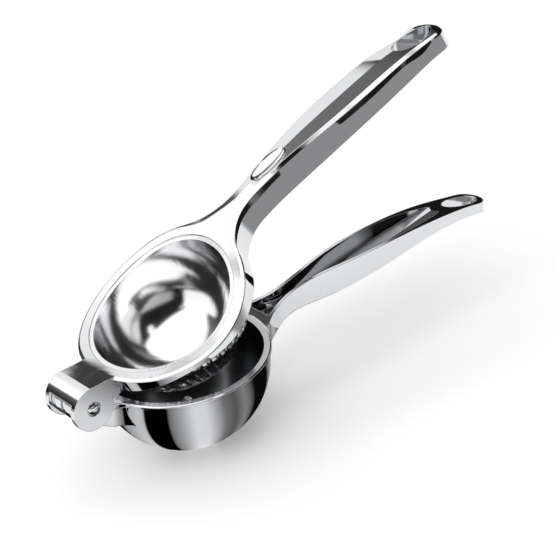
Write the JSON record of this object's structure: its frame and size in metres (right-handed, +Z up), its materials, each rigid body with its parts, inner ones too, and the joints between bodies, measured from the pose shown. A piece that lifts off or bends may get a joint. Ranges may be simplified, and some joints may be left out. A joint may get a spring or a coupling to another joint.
{
  "type": "hand citrus press",
  "caption": "Hinged hand press for lemons: perforated juice bowl on a channel handle, fluted press cup in the ring of an arched upper handle, opened part way.",
  "frame": {"origin": "centre of the small flat foot under the bowl, on the surface it stands on", "axes": "+X from the bowl to the handle tips, +Y along the hinge pin to the far side, +Z up, along the bowl's axis"},
  "size_m": [0.2236, 0.072, 0.1202],
  "materials": {
    "arms": "mirror polish",
    "cup": "mirror polish",
    "pin": "polished"
  },
  "bodies": {
    "bowl_arm": {"lower_arm": "arms"},
    "press_arm": {"upper_arm": "arms", "press_cup": "cup", "hinge_pin": "pin"}
  },
  "joints": [
    {"name": "press_hinge", "type": "hinge", "parent": "bowl_arm", "child": "press_arm", "pos_m": [-0.047, 0, 0.0414], "axis": [0, -1, 0], "range_deg": [-20.5, 75]}
  ]
}
